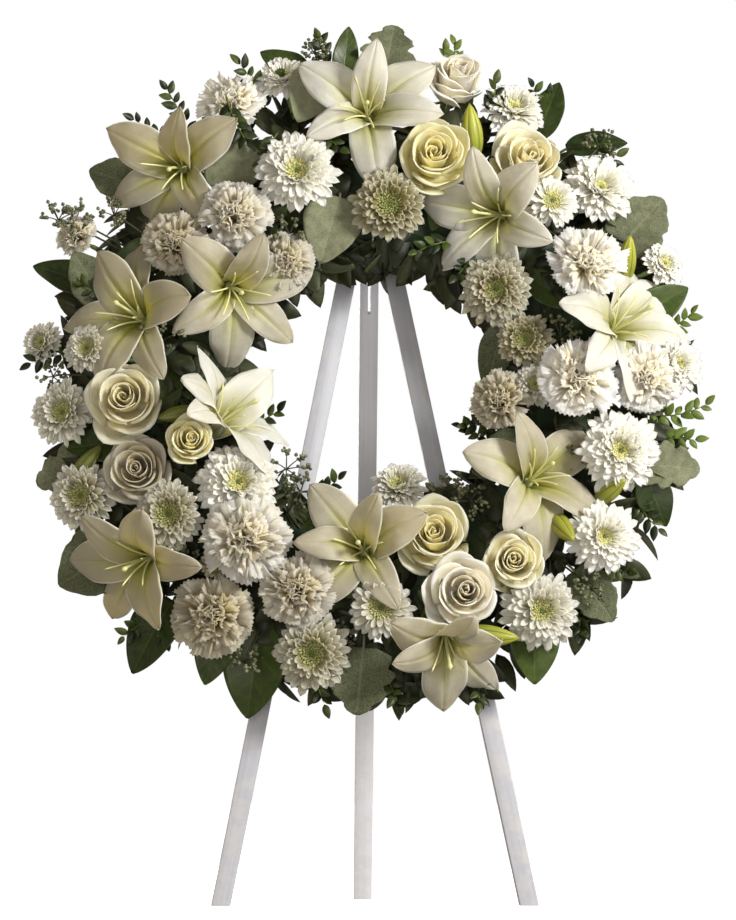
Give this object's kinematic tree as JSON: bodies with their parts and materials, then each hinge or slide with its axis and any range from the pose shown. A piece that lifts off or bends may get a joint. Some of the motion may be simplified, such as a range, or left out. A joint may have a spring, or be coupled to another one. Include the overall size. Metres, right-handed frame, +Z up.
{
  "type": "funeral wreath",
  "caption": "Round funeral wreath of white lilies, roses, carnations and chrysanthemums with greenery on a folding white wooden easel.",
  "frame": {"origin": "on the floor under the middle of the bounding box", "axes": "+Z up, the flowers face -Y, +X to the right of someone looking at the flowers"},
  "size_m": [0.6605, 0.4746, 0.8453],
  "materials": {
    "white_painted_wood": "satin white paint over softwood laths and plywood",
    "zinc_plated_steel": "plain zinc-plated steel plate, screws, pin and wire",
    "green_tray_plastic": "dark green moulded plastic",
    "wet_floral_foam": "open-celled floral foam soaked with water",
    "lily_tepals": "waxy white tepals with a green-yellow throat",
    "rose_petals": "soft cream petals, yellower towards the heart",
    "carnation_petals": "matt off-white frilled petals",
    "chrysanthemum_petals": "white ray petals round a green-yellow eye",
    "greenery": "glossy dark green leaves"
  },
  "bodies": {
    "front_frame": {"front_leg_left": "white_painted_wood", "front_leg_right": "white_painted_wood", "head_gusset": "white_painted_wood", "hinge_bracket": "zinc_plated_steel", "bracket_screw_left": "zinc_plated_steel", "bracket_screw_right": "zinc_plated_steel", "hinge_pin": "zinc_plated_steel", "hanger_screw": "zinc_plated_steel", "hanger_wire": "zinc_plated_steel", "ring_tray": "green_tray_plastic", "foam_ring": "wet_floral_foam", "lily_01": "lily_tepals", "lily_02": "lily_tepals", "lily_03": "lily_tepals", "lily_04": "lily_tepals", "lily_05": "lily_tepals", "lily_06": "lily_tepals", "lily_07": "lily_tepals", "lily_08": "lily_tepals", "lily_09": "lily_tepals", "lily_10": "lily_tepals", "lily_11": "lily_tepals", "rose_01": "rose_petals", "rose_02": "rose_petals", "rose_03": "rose_petals", "rose_04": "rose_petals", "rose_05": "rose_petals", "rose_06": "rose_petals", "rose_07": "rose_petals", "rose_08": "rose_petals", "rose_09": "rose_petals", "carnation_01": "carnation_petals", "carnation_02": "carnation_petals", "carnation_03": "carnation_petals", "carnation_04": "carnation_petals", "carnation_05": "carnation_petals", "carnation_06": "carnation_petals", "carnation_07": "carnation_petals", "carnation_08": "carnation_petals", "carnation_09": "carnation_petals", "carnation_10": "carnation_petals", "carnation_11": "carnation_petals", "chrysanthemum_01": "chrysanthemum_petals", "chrysanthemum_02": "chrysanthemum_petals", "chrysanthemum_03": "chrysanthemum_petals", "chrysanthemum_04": "chrysanthemum_petals", "chrysanthemum_05": "chrysanthemum_petals", "chrysanthemum_06": "chrysanthemum_petals", "chrysanthemum_07": "chrysanthemum_petals", "chrysanthemum_08": "chrysanthemum_petals", "chrysanthemum_09": "chrysanthemum_petals", "chrysanthemum_10": "chrysanthemum_petals", "chrysanthemum_11": "chrysanthemum_petals", "chrysanthemum_12": "chrysanthemum_petals", "chrysanthemum_13": "chrysanthemum_petals", "huckleberry_sprig_left": "greenery", "huckleberry_sprig_right": "greenery", "huckleberry_sprig_top": "greenery", "huckleberry_sprig_bottom": "greenery"},
    "rear_leg": {"rear_leg": "white_painted_wood"}
  },
  "joints": [
    {"name": "rear_leg_fold", "type": "hinge", "parent": "front_frame", "child": "rear_leg", "pos_m": [0, 0.02401, 0.637], "axis": [-1, 0, 0], "range_deg": [0, 30]}
  ]
}
